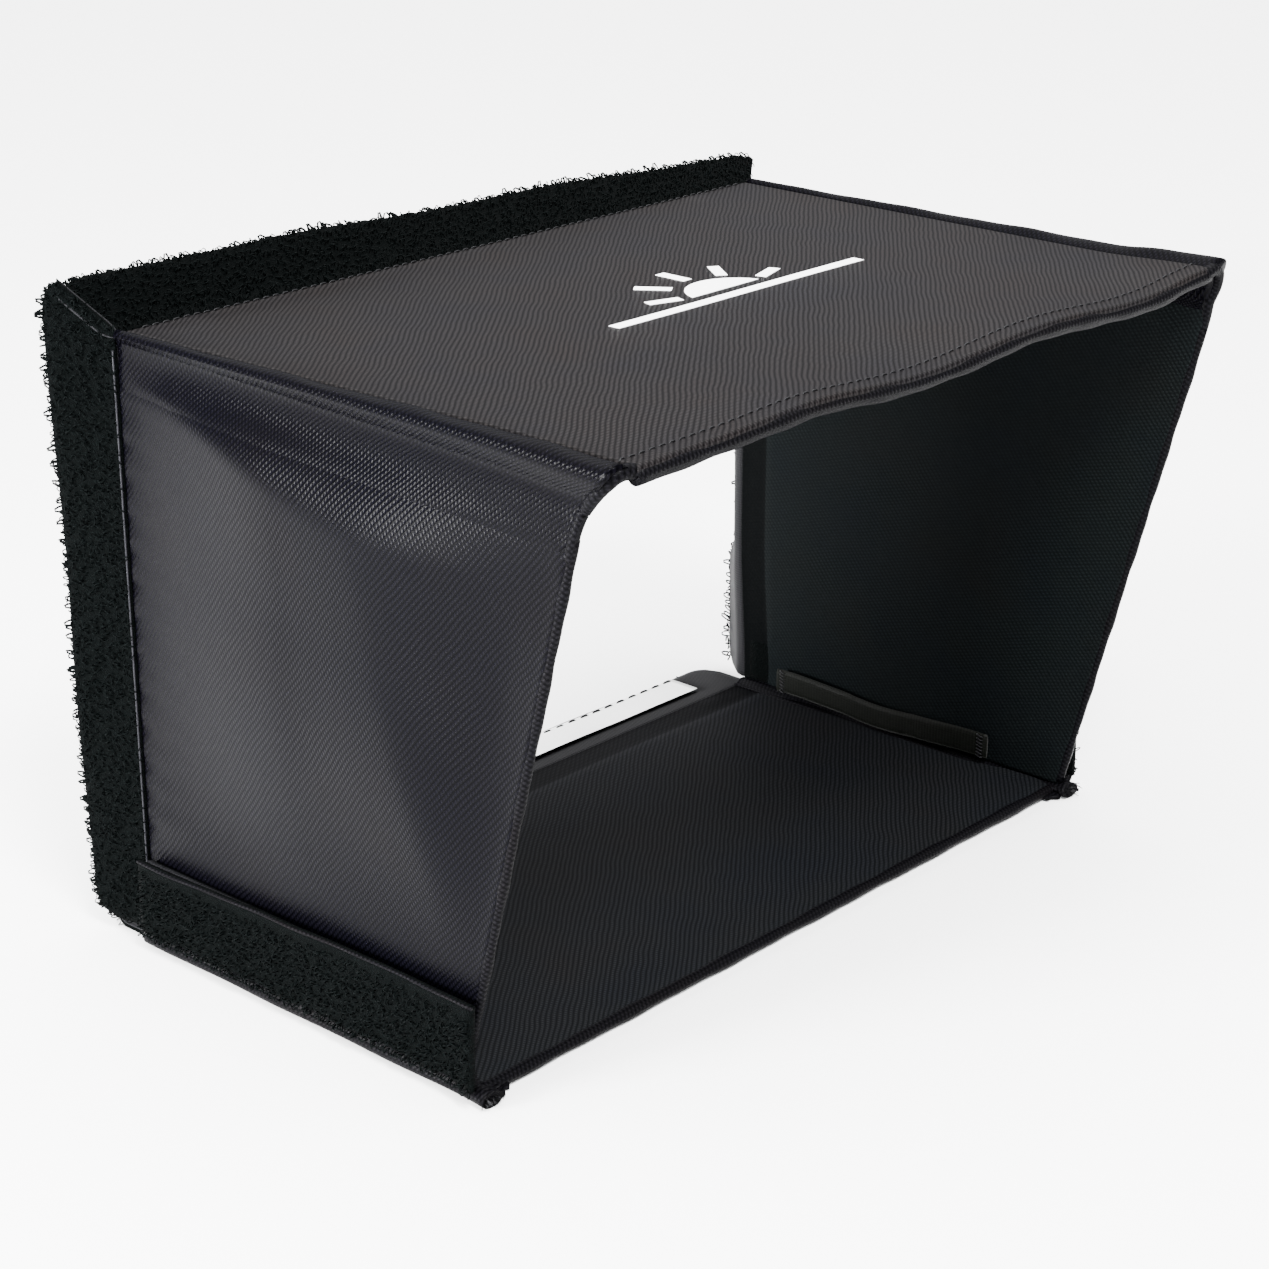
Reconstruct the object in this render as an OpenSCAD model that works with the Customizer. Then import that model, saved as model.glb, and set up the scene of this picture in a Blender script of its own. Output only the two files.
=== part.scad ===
// Folding sun-shade hood for a tablet, field monitor or prompter screen.
// Four padded fabric panels make an open tunnel with a deeper top than bottom.
// X is the width, -Y is the open front, +Y is the rear collar and Z is up.
// Z = 0 is the surface that the hood stands on.

/* [Hood] */
// Outside width across the side panels
hood_w = 268; // [240:2:300]
// Outside height
hood_h = 184; // [160:2:210]
// Depth of the top panel from the rear seam to the front hem
top_depth = 184; // [150:2:220]
// Depth of the bottom panel from the rear seam to the front hem
bottom_depth = 136; // [110:2:150]
// Thickness of a finished panel
panel_t = 3.2; // [2.8:0.1:4]
// Width of the soft fold between the top and a side panel
fold_w = 10; // [6:1:14]

/* [Fabric] */
// Thickness of the cover and lining cloth
cloth_t = 0.8; // [0.5:0.1:1]
// Margin of cloth sewn around each stiffener board
sewn_margin = 5; // [3:0.5:8]

/* [Rear collar] */
// Width of the loop flange behind the rear seam
flange_w = 20; // [18:1:24]
// Angle that the top and side flanges flare outwards
flange_flare = 25; // [0:1:35]
// Radius of the flange corners
flange_corner_r = 8; // [4:1:10]
// Thickness of the loop tape
loop_t = 2; // [1.5:0.1:2.2]
// Thickness of the woven backing behind the loop tape
backing_t = 0.8; // [0.5:0.1:1]
// Width of the adhesive-backed hook strip
mount_strip_w = 12.7; // [10:0.1:15]
// Length of the adhesive-backed hook strip
mount_strip_len = 234; // [200:2:240]
// Thickness of the release liner
liner_t = 0.25; // [0.2:0.05:0.4]

/* [Side wings] */
// Height of the wing tape
wing_h = 25; // [20:1:30]
// Thickness of the wing tape with its pile
wing_t = 2.2; // [1.8:0.1:2.5]
// Thickness of the hook tape
hook_t = 1.2; // [1:0.1:1.5]
// Thickness of the loop strip on the foot of a side panel
foot_strip_t = 1.4; // [1:0.1:1.8]
// Diameter of the rolled cloth fold under each wing
roll_d = 4.4; // [4:0.2:5]
// How far the rolled fold stands out past the front hem
roll_overhang = 5; // [2:1:8]

/* [Inside strap] */
// Length of the strap inside the right panel
strap_len = 90; // [60:2:100]
// Width of the strap
strap_w = 8.5; // [6:0.5:12]
// Thickness of the strap
strap_t = 1.2; // [1:0.1:1.5]
// Height of the strap above the table
strap_z = 8; // [6:1:20]
// Distance of the strap from the rear seam
strap_back = 20; // [10:1:30]

/* [Printed symbol] */
// Length of the printed horizon line
symbol_len = 108; // [60:2:120]
// Radius of the printed half sun
sun_r = 15; // [8:1:18]

/* [Hidden] */
$fn = 48;

cloth_black = [0.13, 0.12, 0.15];
lining_black = [0.09, 0.10, 0.11];
pile_black = [0.05, 0.06, 0.06];

body_gap = 0.4;                              // clearance between separate bodies
foot_gap = 0.6;                              // clearance under a side panel and a wing
seam_y = (top_depth - flange_w) / 2;         // rear seam, with the whole hood centred
foot_z = panel_t + foot_gap;                 // lower edge of a side panel
head_z = hood_h - panel_t - body_gap;        // upper edge of a side panel
slant = (top_depth - bottom_depth) / hood_h; // how far the front edge leans per mm of height
board_t = panel_t - 2 * cloth_t;
wing_z = roll_d + foot_gap;                  // lower edge of a wing
foot_strip_h = wing_h - 3;
hook_x = hood_w / 2 + foot_strip_t + body_gap; // inner face of a wing's hook tape
wing_x = hook_x + hook_t;                      // inner face of a wing's band
roll_x = wing_x + wing_t - roll_d / 2;         // centre of a rolled fold
symbol_t = 0.3;
symbol_line_w = 4;
symbol_x = 16;
symbol_back = 94;
ray_len = 11;
ray_w = 3.6;
ray_step = 36;
tack_w = 2.4;
tack_t = 0.5;

// Front edge of a side panel at height z
function front_y(z) = seam_y - bottom_depth - slant * z;

// ---- outlines ----

// Side panel seen from the side, pulled in by inset and by fold at the top
module side_outline(inset, fold) {
    lean = inset * sqrt(1 + slant * slant);
    low = foot_z + inset;
    high = head_z - fold;
    polygon([
        [seam_y - inset, low],
        [seam_y - inset, high],
        [front_y(high) + lean, high],
        [front_y(low) + lean, low]
    ]);
}

// Top or bottom panel seen from above, pulled in by inset
module plate_outline(width, depth, inset) {
    translate([inset - width / 2, seam_y - depth + inset])
        square([width - 2 * inset, depth - 2 * inset]);
}

// ---- layers of a panel, outer face down ----

// Cover cloth: child 0 is the outline, child 1 is the pocket for board and lining
module cover_layer() {
    color(cloth_black) difference() {
        linear_extrude(panel_t) children(0);
        translate([0, 0, cloth_t]) linear_extrude(panel_t) children(1);
    }
}

module board_layer() {
    color("gray") translate([0, 0, cloth_t]) linear_extrude(board_t) children();
}

module lining_layer() {
    color(lining_black) translate([0, 0, panel_t - cloth_t]) linear_extrude(cloth_t) children();
}

// ---- places ----

// Lays a flat layer on the left panel, its outer face at the hood's side
module on_left(depth = 0) {
    translate([depth - hood_w / 2, 0, 0]) rotate([90, 0, 90]) children();
}

module on_right() {
    mirror([1, 0, 0]) on_left() children();
}

// Turns a layer over onto the top, its outer face up
module on_top() {
    translate([0, 0, hood_h]) mirror([0, 0, 1]) children();
}

// Box between two corners given as [x, y, z]
module slab(low, high) {
    translate(low) cube(high - low);
}

// ---- panels ----

module top_cover() {
    width = hood_w - 2 * fold_w;
    on_top() cover_layer() {
        plate_outline(width, top_depth, 0);
        plate_outline(width, top_depth, cloth_t);
    }
}

module top_stiffener() {
    on_top() board_layer() plate_outline(hood_w - 2 * fold_w, top_depth, sewn_margin);
}

module top_lining() {
    on_top() lining_layer() plate_outline(hood_w - 2 * fold_w, top_depth, cloth_t);
}

module side_cover() {
    cover_layer() {
        side_outline(0, 0);
        side_outline(cloth_t, cloth_t);
    }
}

module side_stiffener() {
    board_layer() side_outline(sewn_margin, fold_w);
}

module side_lining() {
    lining_layer() side_outline(cloth_t, cloth_t);
}

module left_cover() { on_left() side_cover(); }
module left_stiffener() { on_left() side_stiffener(); }
module left_lining() { on_left() side_lining(); }
module right_cover() { on_right() side_cover(); }
module right_stiffener() { on_right() side_stiffener(); }
module right_lining() { on_right() side_lining(); }

module bottom_cover() {
    cover_layer() {
        plate_outline(hood_w, bottom_depth, 0);
        plate_outline(hood_w, bottom_depth, cloth_t);
    }
}

module bottom_stiffener() {
    board_layer() plate_outline(hood_w, bottom_depth, sewn_margin);
}

module bottom_lining() {
    lining_layer() plate_outline(hood_w, bottom_depth, cloth_t);
}

// ---- soft folds ----

// Cloth fold along one top corner, with its outer edge rounded
module corner_fold() {
    color(cloth_black) translate([-hood_w / 2, seam_y, hood_h - panel_t])
        rotate([90, 0, 0]) linear_extrude(top_depth) {
            translate([panel_t, 0]) square([fold_w - panel_t, panel_t]);
            intersection() {
                square(panel_t);
                translate([panel_t, 0]) circle(panel_t);
            }
        }
}

module left_corner_fold() { corner_fold(); }
module right_corner_fold() { mirror([1, 0, 0]) corner_fold(); }

// Cloth that leaves the bottom panel's edge and rolls under the wing
module fold_roll() {
    length = bottom_depth + roll_overhang;
    color(cloth_black) translate([0, seam_y, 0]) rotate([90, 0, 0]) linear_extrude(length)
        translate([-roll_x, roll_d / 2]) circle(d = roll_d);
    color(cloth_black)
        slab([-roll_x, seam_y - bottom_depth, 0], [-hood_w / 2, seam_y, panel_t - cloth_t]);
}

module left_fold_roll() { fold_roll(); }
module right_fold_roll() { mirror([1, 0, 0]) fold_roll(); }

// ---- rear collar ----

// Flange layer between two depths below the outer face, bent outwards near the seam
module flange_layer(length, from, thickness, flare, shade) {
    color(shade) difference() {
        translate([length / 2, 0, 0]) rotate([90, 0, -90])
            linear_extrude(length) flange_profile(from, from + thickness, flare);
        rotate([-flare, 0, 0])
            for (flip = [0, 1]) mirror([flip, 0, 0]) flange_corner_cut(length / 2);
    }
}

// Cross-section of a layer: along the seam's plane at first, then turned by flare
module flange_profile(low, high, flare) {
    polygon(concat(
        [[0, low]], bend_point(low, flare), [tip_point(low, flare)],
        [tip_point(high, flare)], bend_point(high, flare), [[0, high]]
    ));
}

function bend_point(depth, flare) = flare > 0 ? [[-depth_bend(depth, flare), depth]] : [];
function depth_bend(depth, flare) = depth * tan(flare / 2);
function tip_point(depth, flare) = [
    -flange_w * cos(flare) - depth * sin(flare),
    depth * cos(flare) - flange_w * sin(flare)
];

// What is cut away to round one rear corner of a flange
module flange_corner_cut(half_length) {
    r = flange_corner_r;
    translate([half_length - r, flange_w - r, -1]) linear_extrude(panel_t + 2) difference() {
        square(r + 1);
        circle(r);
    }
}

// Stands a flange layer on the rear seam of the left panel
module on_left_flange() {
    translate([-hood_w / 2, seam_y, (foot_z + head_z) / 2])
        rotate([90, 0, 90]) rotate([0, 0, -90]) children();
}

module side_loop_tape() {
    on_left_flange() flange_layer(head_z - foot_z, 0, loop_t, flange_flare, pile_black);
}

module side_backing() {
    on_left_flange() flange_layer(head_z - foot_z, loop_t, backing_t, flange_flare, cloth_black);
}

module left_flange_loop_tape() { side_loop_tape(); }
module left_flange_backing() { side_backing(); }
module right_flange_loop_tape() { mirror([1, 0, 0]) side_loop_tape(); }
module right_flange_backing() { mirror([1, 0, 0]) side_backing(); }

module top_flange_loop_tape() {
    on_top() translate([0, seam_y, 0])
        flange_layer(hood_w, 0, loop_t, flange_flare, pile_black);
}

module top_flange_backing() {
    on_top() translate([0, seam_y, 0])
        flange_layer(hood_w, loop_t, backing_t, flange_flare, cloth_black);
}

module bottom_flange_loop_tape() {
    translate([0, seam_y, 0]) flange_layer(hood_w, 0, loop_t, 0, pile_black);
}

module bottom_flange_backing() {
    translate([0, seam_y, 0]) flange_layer(hood_w, loop_t, backing_t, 0, cloth_black);
}

// Strip lying on the bottom flange, along its rear edge
module flange_strip(z, thickness) {
    rear = seam_y + flange_w - body_gap;
    slab([-mount_strip_len / 2, rear - mount_strip_w, z],
         [mount_strip_len / 2, rear, z + thickness]);
}

module mount_hook_strip() {
    color(pile_black) flange_strip(loop_t + backing_t, hook_t);
}

module release_liner() {
    color("white") flange_strip(loop_t + backing_t + hook_t, liner_t);
}

// ---- side wings ----

// Loop strip sewn to the foot of a side panel, under the wing
module foot_loop_strip() {
    x = hood_w / 2;
    color(pile_black) slab([-x - foot_strip_t, seam_y - bottom_depth + 3, wing_z],
                           [-x, seam_y - 3, wing_z + foot_strip_h]);
}

module left_foot_loop_strip() { foot_loop_strip(); }
module right_foot_loop_strip() { mirror([1, 0, 0]) foot_loop_strip(); }

// Hook tape on the inner face of a wing
module wing_hook_tape() {
    color(pile_black) slab([-hook_x - hook_t, seam_y - bottom_depth + 3, wing_z + 1],
                           [-hook_x, seam_y - 3, wing_z + 1 + foot_strip_h]);
}

module left_wing_hook_tape() { wing_hook_tape(); }
module right_wing_hook_tape() { mirror([1, 0, 0]) wing_hook_tape(); }

// Loop-faced outer band of a wing
module wing_band() {
    color(pile_black) slab([-wing_x - wing_t, seam_y - bottom_depth - 2, wing_z],
                           [-wing_x, seam_y, wing_z + wing_h]);
}

module left_wing_band() { wing_band(); }
module right_wing_band() { mirror([1, 0, 0]) wing_band(); }

// ---- strap inside the right panel ----

strap_face_x = hood_w / 2 - panel_t;
strap_rear_y = seam_y - strap_back;

module inside_strap() {
    color(pile_black) slab([strap_face_x - strap_t, strap_rear_y - strap_len, strap_z],
                           [strap_face_x, strap_rear_y, strap_z + strap_w]);
}

// Dense stitching that holds each end of the strap
module strap_bar_tacks() {
    x = strap_face_x - strap_t;
    color("dimgray") for (y = [strap_rear_y - strap_len + 2, strap_rear_y - 2 - tack_w])
        slab([x - tack_t, y, strap_z + 1], [x, y + tack_w, strap_z + strap_w - 1]);
}

// ---- printed symbol: half a sun with rays over a horizon line ----

module printed_symbol() {
    color("white") translate([symbol_x, seam_y - symbol_back, hood_h]) linear_extrude(symbol_t) {
        translate([-symbol_len / 2, -symbol_line_w]) square([symbol_len, symbol_line_w]);
        intersection() {
            circle(sun_r);
            translate([-sun_r, symbol_line_w]) square([2 * sun_r, sun_r]);
        }
        for (angle = [ray_step / 2:ray_step:180])
            rotate([0, 0, angle]) translate([sun_r + ray_w, -ray_w / 2]) square([ray_len, ray_w]);
    }
}

top_cover();
top_stiffener();
top_lining();
left_corner_fold();
right_corner_fold();
top_flange_backing();
top_flange_loop_tape();
printed_symbol();
left_cover();
left_stiffener();
left_lining();
left_flange_backing();
left_flange_loop_tape();
left_foot_loop_strip();
right_cover();
right_stiffener();
right_lining();
right_flange_backing();
right_flange_loop_tape();
right_foot_loop_strip();
inside_strap();
strap_bar_tacks();
bottom_cover();
bottom_stiffener();
bottom_lining();
bottom_flange_backing();
bottom_flange_loop_tape();
mount_hook_strip();
release_liner();
left_fold_roll();
right_fold_roll();
left_wing_band();
left_wing_hook_tape();
right_wing_band();
right_wing_hook_tape();
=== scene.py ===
"""Looks of a folding fabric sun-shade hood: padded cloth panels, loop-pile collar and side wings."""

import math
import random

import bmesh
import bpy
import numpy as np
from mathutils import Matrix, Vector


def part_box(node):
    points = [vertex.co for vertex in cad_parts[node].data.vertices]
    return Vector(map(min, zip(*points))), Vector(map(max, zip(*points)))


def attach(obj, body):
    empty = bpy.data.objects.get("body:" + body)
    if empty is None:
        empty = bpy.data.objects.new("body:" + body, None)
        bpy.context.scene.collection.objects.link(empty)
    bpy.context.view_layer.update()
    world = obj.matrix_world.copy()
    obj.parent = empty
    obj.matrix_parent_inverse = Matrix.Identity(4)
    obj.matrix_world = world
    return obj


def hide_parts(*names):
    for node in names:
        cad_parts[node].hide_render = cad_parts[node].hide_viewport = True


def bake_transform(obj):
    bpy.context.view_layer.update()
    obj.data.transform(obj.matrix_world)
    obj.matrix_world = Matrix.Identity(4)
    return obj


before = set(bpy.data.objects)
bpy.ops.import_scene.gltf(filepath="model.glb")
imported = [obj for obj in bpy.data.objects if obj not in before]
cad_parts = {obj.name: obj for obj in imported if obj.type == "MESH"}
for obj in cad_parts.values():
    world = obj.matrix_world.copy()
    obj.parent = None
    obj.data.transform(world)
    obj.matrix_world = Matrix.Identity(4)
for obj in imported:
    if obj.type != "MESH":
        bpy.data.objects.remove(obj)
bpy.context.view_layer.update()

MM = 0.001
dice = random.Random(11)


# ---------------------------------------------------------------- places taken from the frame

def low(node):
    return Vector(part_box(node)[0])


def high(node):
    return Vector(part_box(node)[1])


def box(node):
    return low(node), high(node)


HALF_WIDTH = high("bottom_cover").x
TOP_Z = high("top_cover").z
SEAM_Y = high("bottom_cover").y
TOP_FRONT_Y = low("top_cover").y
FOOT_FRONT_Y = low("bottom_cover").y
FOOT_Z = low("left_cover").z
HALF_T = high("bottom_cover").z / 2  # of a panel
FLANGE_W = high("bottom_flange_loop_tape").y - SEAM_Y
LEAN = (FOOT_FRONT_Y - TOP_FRONT_Y) / TOP_Z  # how far the open front leans forward per unit of height
SEWN_MARGIN = 11 * MM                        # band of lining sewn down along the rear seam


def front_y(z):
    return FOOT_FRONT_Y - LEAN * z


# ---------------------------------------------------------------- small numeric helpers

def smooth(x):
    x = np.clip(x, 0.0, 1.0)
    return x * x * (3 - 2 * x)


def ripple(x, y, seed):
    """Smooth, repeatable unevenness between about -1 and 1, for x and y in feature lengths."""
    picks = random.Random(seed)
    total = 0.0
    for _ in range(5):
        angle = picks.uniform(0, math.tau)
        rate = picks.uniform(0.6, 1.7)
        phase = picks.uniform(0, math.tau)
        total = total + np.sin(math.tau * rate * (x * math.cos(angle) + y * math.sin(angle)) + phase)
    return total / 3.0


HEM_WAVE, HEM_WAVE_RUN = 1.3, 17.0     # height of the front hem's waves, and their length over tau
LEFT_DROOP, RIGHT_RISE = -0.8, 1.6     # of the top's two front corners
FOOT_BOW = 3.0                         # how far the right panel's rear foot bows outwards; all in millimetres


def settle(points):
    """How the sewn hood sits: wavy front hem, uneven front corners and a slightly bowed right foot."""
    points = np.array(points, dtype=float)
    x, y, z = points[..., 0] / MM, points[..., 1] / MM, points[..., 2] / MM
    upper = smooth((z - 150) / 30)
    near_front = smooth((-60 - y) / 40)
    between_corners = smooth((x + 110) / 60) * smooth((128 - x) / 30)
    wave = HEM_WAVE * np.sin((x - 14) / HEM_WAVE_RUN) * between_corners
    droop = LEFT_DROOP * np.exp(-((x + 134) / 26) ** 2) + RIGHT_RISE * smooth((x - 70) / 60)
    points[..., 2] += MM * upper * near_front * (wave + droop)
    low_right = smooth((x - 60) / 70) * smooth((60 - z) / 60) * smooth((y - 20) / 60)
    points[..., 0] += MM * FOOT_BOW * low_right
    return points


# ---------------------------------------------------------------- meshes

def add_mesh(name, points, faces, coordinates=None):
    """New object; coordinates are the weave's own flat coordinates, in metres, one per point."""
    mesh = bpy.data.meshes.new(name)
    mesh.from_pydata([tuple(p) for p in points], [], faces)
    if coordinates is not None:
        layer = mesh.uv_layers.new(name="weave")
        corner_points = np.empty(len(mesh.loops), dtype=np.int64)
        mesh.loops.foreach_get("vertex_index", corner_points)
        layer.data.foreach_set("uv", np.asarray(coordinates, dtype=np.float32)[corner_points].ravel())
    mesh.validate()
    mesh.update()
    mesh.polygons.foreach_set("use_smooth", [True] * len(mesh.polygons))
    made = bpy.data.objects.new(name, mesh)
    bpy.context.scene.collection.objects.link(made)
    return made


def dress(piece, body, material, slot, *nodes):
    """Gives a piece its body, its material and the CAD nodes it stands for; its record slot is not used."""
    piece.data.materials.append(material)
    if body is not None:
        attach(piece, body)
    if nodes:
        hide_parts(*nodes)
    return piece


def grid_faces(rows, columns, offset=0, flip=False):
    faces = []
    for i in range(rows - 1):
        for j in range(columns - 1):
            a = offset + i * columns + j
            face = (a, a + 1, a + columns + 1, a + columns)
            faces.append(face[::-1] if flip else face)
    return faces


def grid_border(rows, columns):
    """Indices round the edge of a grid, in order."""
    bottom = list(range(columns))
    right = [i * columns + columns - 1 for i in range(1, rows)]
    top = [(rows - 1) * columns + j for j in range(columns - 2, -1, -1)]
    left = [i * columns for i in range(rows - 2, 0, -1)]
    return bottom + right + top + left


def closed_slab(name, upper, lower, coordinates):
    """Closed mesh between two grids of points of the same shape; upper faces away from lower."""
    rows, columns = upper.shape[:2]
    count = rows * columns
    points = np.concatenate([upper.reshape(-1, 3), lower.reshape(-1, 3)])
    faces = grid_faces(rows, columns) + grid_faces(rows, columns, count, flip=True)
    edge = grid_border(rows, columns)
    for a, b in zip(edge, edge[1:] + edge[:1]):
        faces.append((b, a, a + count, b + count))
    flat = np.asarray(coordinates).reshape(-1, 2)
    return add_mesh(name, points, faces, np.concatenate([flat, flat]))


def slab_of_rows(name, rows, turned, settled=False):
    """Closed slab from rows of (upper point, lower point, flat coordinates).

    turned runs each row backwards, so that the faces of a mirrored piece look outwards."""
    upper, lower, flat = (np.array([[spot[k] for spot in row] for row in rows], dtype=float) for k in range(3))
    if settled:
        upper, lower = settle(upper), settle(lower)
    if turned:
        upper, lower, flat = upper[:, ::-1], lower[:, ::-1], flat[:, ::-1]
    return closed_slab(name, upper, lower, flat)


def tube_mesh(name, paths, radius, sides=6):
    """Closed round tubes along lists of points; radius is one number or a function of the share run."""
    points, faces, flat = [], [], []
    for path in paths:
        path = [Vector(p) for p in path]
        first = len(points)
        run = 0.0
        for k, here in enumerate(path):
            before, after = path[max(k - 1, 0)], path[min(k + 1, len(path) - 1)]
            ahead = (after - before).normalized()
            helper = Vector((0, 0, 1)) if abs(ahead.z) < 0.8 else Vector((1, 0, 0))
            across = ahead.cross(helper).normalized()
            up = across.cross(ahead)
            r = radius(k / (len(path) - 1)) if callable(radius) else radius
            run += (here - before).length
            for s in range(sides):
                turn = math.tau * s / sides
                points.append(here + (across * math.cos(turn) + up * math.sin(turn)) * r)
                flat.append((run, turn * r))
        for k in range(len(path) - 1):
            for s in range(sides):
                a, b = first + k * sides + s, first + k * sides + (s + 1) % sides
                faces.append((a, a + sides, b + sides, b))
        faces.append(tuple(first + s for s in range(sides)))
        last = first + (len(path) - 1) * sides
        faces.append(tuple(last + s for s in reversed(range(sides))))
    return add_mesh(name, points, faces, flat)


# ---------------------------------------------------------------- material nodes

class Signal:
    """A value inside a node tree. It takes part in arithmetic with numbers and other signals."""

    def __init__(self, nodes, socket):
        self.nodes, self.socket = nodes, socket

    def __add__(self, other):
        return self.nodes.calc("ADD", self, other)

    def __sub__(self, other):
        return self.nodes.calc("SUBTRACT", self, other)

    def __rsub__(self, other):
        return self.nodes.calc("SUBTRACT", other, self)

    def __mul__(self, other):
        return self.nodes.calc("MULTIPLY", self, other)

    def __truediv__(self, other):
        return self.nodes.calc("DIVIDE", self, other)

    def __pow__(self, other):
        return self.nodes.calc("POWER", self, other)

    def wave(self):
        """0 to 1, once for each unit of the signal."""
        return (self.nodes.calc("SINE", self * math.tau) + 1.0) * 0.5


class Nodes:
    """A node tree being built."""

    def __init__(self, tree):
        self.tree = tree

    def feed(self, socket, value):
        """Links a signal to a socket, or sets it to a number or an (r, g, b) colour."""
        if isinstance(value, Signal):
            self.tree.links.new(value.socket, socket)
        else:
            socket.default_value = (*value, 1.0) if isinstance(value, tuple) else value

    def add(self, kind, output, inputs, **settings):
        """New node with its inputs fed; gives one of its outputs."""
        made = self.tree.nodes.new(kind)
        for key, value in settings.items():
            setattr(made, key, value)
        for key, value in inputs.items():
            self.feed(made.inputs[key], value)
        return Signal(self, made.outputs[output])

    def calc(self, operation, *values):
        return self.add("ShaderNodeMath", 0, dict(enumerate(values)), operation=operation)

    def noise(self, vector, scale, detail=2.0, roughness=0.5):
        return self.add("ShaderNodeTexNoise", "Fac",
                        {"Vector": vector, "Scale": scale, "Detail": detail, "Roughness": roughness})

    def ramp(self, factor, *stops):
        """Colour ramp; stops are (place, (r, g, b))."""
        made = self.tree.nodes.new("ShaderNodeValToRGB")
        bar = made.color_ramp
        while len(bar.elements) < len(stops):
            bar.elements.new(0.5)
        for element, (place, colour) in zip(bar.elements, stops):
            element.position = place
            element.color = (*colour, 1.0)
        self.feed(made.inputs["Fac"], factor)
        return Signal(self, made.outputs["Color"])

    def mix(self, factor, a, b, blend="MIX"):
        return self.add("ShaderNodeMix", "Result", {"Factor": factor, "A": a, "B": b},
                        data_type="RGBA", blend_type=blend)

    def place(self, kind):
        """Texture coordinates of one kind, in metres."""
        return self.add("ShaderNodeTexCoord", kind, {})

    def parts(self, vector):
        """A vector's x, y and z."""
        split = self.tree.nodes.new("ShaderNodeSeparateXYZ")
        self.feed(split.inputs[0], vector)
        return [Signal(self, socket) for socket in split.outputs]

    def weave(self):
        """The cloth's flat coordinates in millimetres: (vector, across, along)."""
        source = self.add("ShaderNodeUVMap", "UV", {}, uv_map="weave")
        flat = self.add("ShaderNodeVectorMath", 0, {0: source, "Scale": 1 / MM}, operation="SCALE")
        across, along, _ = self.parts(flat)
        return flat, across, along


class Surface(Nodes):
    """A material being built round its Principled shader."""

    def __init__(self, name, roughness, gloss=0.5, sheen=0.0, sheen_roughness=0.4):
        self.material = bpy.data.materials.new(name)
        self.material.use_nodes = True
        super().__init__(self.material.node_tree)
        self.inputs = self.tree.nodes["Principled BSDF"].inputs
        self.inputs["Roughness"].default_value = roughness
        self.inputs["Specular IOR Level"].default_value = gloss
        self.inputs["Sheen Weight"].default_value = sheen
        self.inputs["Sheen Roughness"].default_value = sheen_roughness

    def finish(self, colour, height, strength, depth):
        """Sets the colour and a relief with its depth in millimetres, and gives the finished material."""
        self.feed(self.inputs["Base Color"], colour)
        relief = {"Height": height, "Strength": strength, "Distance": depth * MM}
        self.feed(self.inputs["Normal"], self.add("ShaderNodeBump", "Normal", relief))
        return self.material

    def relief(self, height, strength, depth, *stops):
        """Like finish, with the colour taken from the height by a ramp."""
        return self.finish(self.ramp(height, *stops), height, strength, depth)


RIB_PITCH = 1.42                # millimetres from rib to rib of the twill
FLOAT_PITCH = 0.85 * RIB_PITCH  # and from float to float along a rib


def twill(name, groove, face, rib_angle, gloss, roughness=0.36, sheen=0.0, depth=0.16, margin=0.0):
    """Coarse nylon twill: slanted ribs broken into floats. margin darkens a sewn band by the rear seam."""
    cloth = Surface(name, roughness, gloss, sheen, 0.35)
    cloth.feed(cloth.inputs["Sheen Tint"], (0.75, 0.72, 0.85))
    flat, u, v = cloth.weave()
    rise, run = math.sin(math.radians(rib_angle)), math.cos(math.radians(rib_angle))
    wander = (cloth.noise(flat, 0.06, 1.5) - 0.5) * 1.3
    across = u * (rise / RIB_PITCH) + v * (-run / RIB_PITCH) + wander
    along = u * (run / FLOAT_PITCH) + v * (rise / FLOAT_PITCH) + across * 0.5
    fuzz = cloth.noise(flat, 2.6, 3.0, 0.7)
    height = across.wave() ** 0.8 * (along.wave() * 0.7 + 0.3) + fuzz * 0.35
    middle = tuple((a + b) / 2 for a, b in zip(groove, face))
    patches = cloth.noise(flat, 0.022, 4.0, 0.6)
    tint = cloth.ramp(patches, (0.3, (0.86, 0.9, 1.0)), (0.5, (1.0, 1.0, 1.0)), (0.7, (1.06, 0.98, 0.92)))
    colour = cloth.ramp(height, (0.12, groove), (0.55, middle), (1.0, face))
    colour = cloth.mix(1.0, colour, tint, "MULTIPLY")
    if margin:
        inside = cloth.calc("LESS_THAN", u, margin)
        colour = cloth.mix(inside, colour, tuple(c * 0.6 for c in groove))
    cloth.feed(cloth.inputs["Roughness"], roughness + 0.06 - height * 0.12)
    return cloth.finish(colour, height, 0.55, depth)


def pile(name, dark, light):
    """Ground of a loop tape: a dense, curly tangle."""
    tape = Surface(name, 0.75, 0.01, 0.002, 0.5)
    flat, _, _ = tape.weave()
    curls = tape.add("ShaderNodeTexVoronoi", "Distance", {"Vector": flat, "Scale": 1.1},
                     feature="DISTANCE_TO_EDGE")
    height = curls * 1.4 + tape.noise(flat, 1.7, 5.0, 0.7)
    return tape.relief(height, 1.0, 0.5, (0.35, dark), (0.917, light))


def yarn(name, dark, light, roughness, sheen, gloss):
    """Fine multi-strand thread or pile yarn."""
    thread = Surface(name, roughness, gloss, sheen)
    strands = thread.noise(thread.place("Object"), 2400.0, 3.0, 0.6)
    return thread.relief(strands, 0.5, 0.08, (0.3, dark), (0.75, light))


def webbing(name, dark, light, rib=0.9, roughness=0.6):
    """Flat woven tape with fine cross ribs."""
    tape = Surface(name, roughness, 0.04, 0.02)
    flat, u, v = tape.weave()
    height = (u / rib).wave() * 0.6 + (v / (rib * 0.7)).wave() * 0.4 + tape.noise(flat, 2.0, 3.0) * 0.4
    return tape.relief(height, 0.6, 0.12, (0.2, dark), (1.0, light))


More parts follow.
